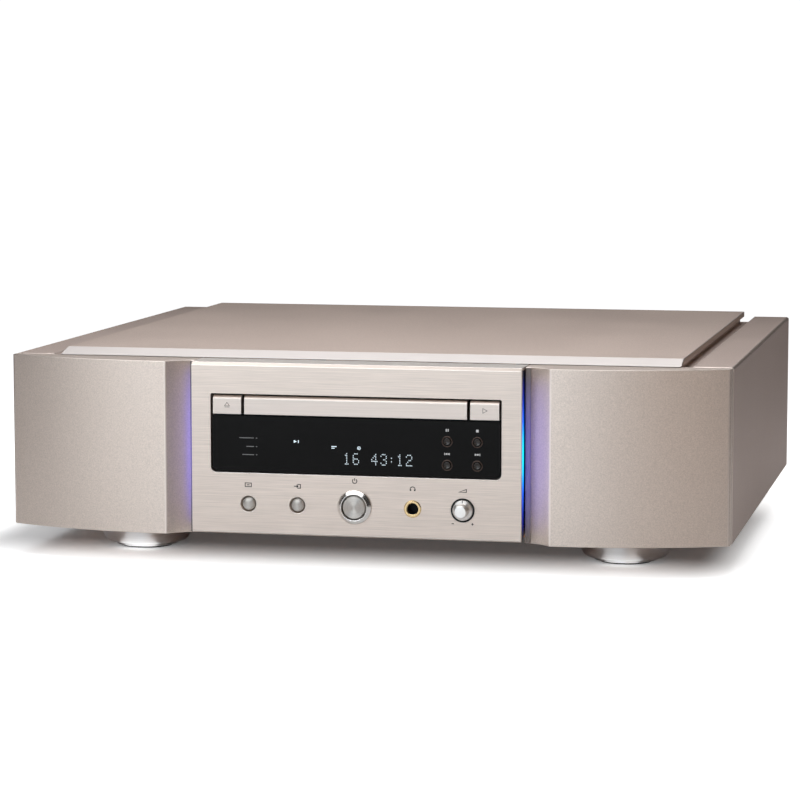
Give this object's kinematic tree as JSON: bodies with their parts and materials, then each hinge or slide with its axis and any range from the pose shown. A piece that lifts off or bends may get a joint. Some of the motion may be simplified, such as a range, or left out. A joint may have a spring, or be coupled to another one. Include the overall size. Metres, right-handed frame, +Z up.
{
  "type": "cd player",
  "caption": "Full-width hi-fi disc player with a motor-driven front tray, curved front cheeks, blue side lights, display window, front buttons, level knob, headphone jack and turned feet.",
  "frame": {"origin": "centre of the underside of the feet, the bottom centre of the bounding box", "axes": "+X to the viewer's right along the width, front faces -Y, +Z up"},
  "size_m": [0.44, 0.419, 0.127],
  "materials": {
    "fascia_metal": "horizontally brushed champagne anodising",
    "cheek_metal": "bead-blasted champagne anodising",
    "case_metal": "fine satin champagne anodising",
    "cover_metal": "fine satin champagne anodising",
    "plated_chassis": "copper-plated steel, satin",
    "foot_metal": "turned, clear satin",
    "foot_pad": "matt black",
    "light_guide": "lit blue light guide, black at both ends",
    "moulding_black": "fine-textured black moulding",
    "window_black": "gloss black acrylic",
    "display_glass": "dark glass with lit characters",
    "circuit_board": "solder-resist green",
    "bar_metal": "satin champagne anodising with a polished chamfer",
    "small_button_black": "gloss black",
    "polished_metal": "polished",
    "spun_metal": "spun face",
    "socket_brass": "plated, satin",
    "knob_metal": "turned champagne anodising",
    "steel": "zinc-plated steel",
    "moulding_grey": "acetal moulding",
    "belt_rubber": "square-section rubber belt"
  },
  "bodies": {
    "root": {"audio_board": "circuit_board", "balanced_socket_left": "steel", "balanced_socket_right": "steel", "base_plate": "plated_chassis", "centre_fascia": "fascia_metal", "cheek_left": "cheek_metal", "cheek_right": "cheek_metal", "clamp_bridge": "steel", "display_board": "circuit_board", "display_module": "display_glass", "display_window": "window_black", "drive_belt": "belt_rubber", "foot_front_left": "foot_metal", "foot_front_right": "foot_metal", "foot_pad_front_left": "foot_pad", "foot_pad_front_right": "foot_pad", "foot_pad_rear_left": "foot_pad", "foot_pad_rear_right": "foot_pad", "foot_rear_left": "foot_metal", "foot_rear_right": "foot_metal", "front_subframe": "moulding_black", "headphone_socket": "socket_brass", "level_pot": "steel", "light_bar_left": "light_guide", "light_bar_right": "light_guide", "line_socket_left": "socket_brass", "line_socket_right": "socket_brass", "loader_frame": "moulding_black", "loader_motor": "steel", "mains_inlet": "moulding_black", "power_board": "circuit_board", "power_ring": "polished_metal", "rear_panel": "plated_chassis", "side_panel_left": "case_metal", "side_panel_right": "case_metal", "top_cover": "cover_metal", "transformer": "plated_chassis"},
    "tray": {"disc_tray": "moulding_black", "tray_front": "bar_metal"},
    "gear": {"loader_gear": "moulding_grey"},
    "pulley": {"motor_pulley": "moulding_grey"},
    "traverse": {"traverse_plate": "steel", "spindle_motor": "steel", "guide_rod_left": "steel", "guide_rod_right": "steel", "sled_motor": "steel"},
    "turntable": {"turntable": "moulding_black"},
    "lead_screw": {"lead_screw": "steel"},
    "pickup": {"pickup_unit": "moulding_black"},
    "puck": {"clamp_puck": "moulding_black"},
    "level_knob": {"level_knob": "knob_metal"},
    "power_button": {"power_button": "spun_metal"},
    "display_button": {"display_button": "polished_metal"},
    "input_button": {"input_button": "polished_metal"},
    "eject_button": {"eject_button": "bar_metal"},
    "play_button": {"play_button": "bar_metal"},
    "pause_button": {"pause_button": "small_button_black"},
    "stop_button": {"stop_button": "small_button_black"},
    "previous_button": {"previous_button": "small_button_black"},
    "next_button": {"next_button": "small_button_black"}
  },
  "joints": [
    {"name": "tray_slide", "type": "slide", "parent": "root", "child": "tray", "axis": [0, -1, 0], "range_m": [0, 0.14]},
    {"name": "gear_spin", "type": "hinge", "parent": "root", "child": "gear", "pos_m": [0.04, -0.1615, 0.087], "axis": [0, 0, 1], "range_deg": [-670.45, 2]},
    {"name": "pulley_spin", "type": "hinge", "parent": "root", "child": "pulley", "pos_m": [-0.01, -0.1615, 0.087], "axis": [0, 0, 1], "range_deg": [-2681.8, 8]},
    {"name": "traverse_lift", "type": "slide", "parent": "root", "child": "traverse", "axis": [0, 0, 1], "range_m": [0, 0.008]},
    {"name": "turntable_spin", "type": "hinge", "parent": "traverse", "child": "turntable", "pos_m": [0, -0.1255, 0.09], "axis": [0, 0, 1], "continuous": true},
    {"name": "puck_spin", "type": "hinge", "parent": "root", "child": "puck", "pos_m": [0, -0.1255, 0.107], "axis": [0, 0, 1], "continuous": true},
    {"name": "pickup_slide", "type": "slide", "parent": "traverse", "child": "pickup", "axis": [0, 1, 0], "range_m": [0, 0.034]},
    {"name": "screw_spin", "type": "hinge", "parent": "traverse", "child": "lead_screw", "pos_m": [-0.03, -0.0815, 0.0825], "axis": [0, 1, 0], "range_deg": [-5, 4085]},
    {"name": "level_turn", "type": "hinge", "parent": "root", "child": "level_knob", "pos_m": [0.065, -0.2015, 0.03875], "axis": [0, -1, 0], "range_deg": [-150, 150]},
    {"name": "power_press", "type": "slide", "parent": "root", "child": "power_button", "axis": [0, 1, 0], "range_m": [0, 0.0015], "stiffness_N_per_m": 400, "springref_m": -0.0005},
    {"name": "display_press", "type": "slide", "parent": "root", "child": "display_button", "axis": [0, 1, 0], "range_m": [0, 0.0007], "stiffness_N_per_m": 400, "springref_m": -0.0005},
    {"name": "input_press", "type": "slide", "parent": "root", "child": "input_button", "axis": [0, 1, 0], "range_m": [0, 0.0007], "stiffness_N_per_m": 400, "springref_m": -0.0005},
    {"name": "eject_press", "type": "slide", "parent": "root", "child": "eject_button", "axis": [0, 1, 0], "range_m": [0, 0.0007], "stiffness_N_per_m": 400, "springref_m": -0.0005},
    {"name": "play_press", "type": "slide", "parent": "root", "child": "play_button", "axis": [0, 1, 0], "range_m": [0, 0.0007], "stiffness_N_per_m": 400, "springref_m": -0.0005},
    {"name": "pause_press", "type": "slide", "parent": "root", "child": "pause_button", "axis": [0, 1, 0], "range_m": [0, 0.0007], "stiffness_N_per_m": 400, "springref_m": -0.0005},
    {"name": "stop_press", "type": "slide", "parent": "root", "child": "stop_button", "axis": [0, 1, 0], "range_m": [0, 0.0007], "stiffness_N_per_m": 400, "springref_m": -0.0005},
    {"name": "previous_press", "type": "slide", "parent": "root", "child": "previous_button", "axis": [0, 1, 0], "range_m": [0, 0.0007], "stiffness_N_per_m": 400, "springref_m": -0.0005},
    {"name": "next_press", "type": "slide", "parent": "root", "child": "next_button", "axis": [0, 1, 0], "range_m": [0, 0.0007], "stiffness_N_per_m": 400, "springref_m": -0.0005}
  ],
  "couplings": [
    {"joint": "gear_spin", "follows": "tray_slide", "rad_per_m": -83.333},
    {"joint": "pulley_spin", "follows": "tray_slide", "rad_per_m": -333.33},
    {"joint": "screw_spin", "follows": "pickup_slide", "rad_per_m": 2094.4},
    {"joint": "puck_spin", "follows": "turntable_spin", "ratio": 1}
  ]
}
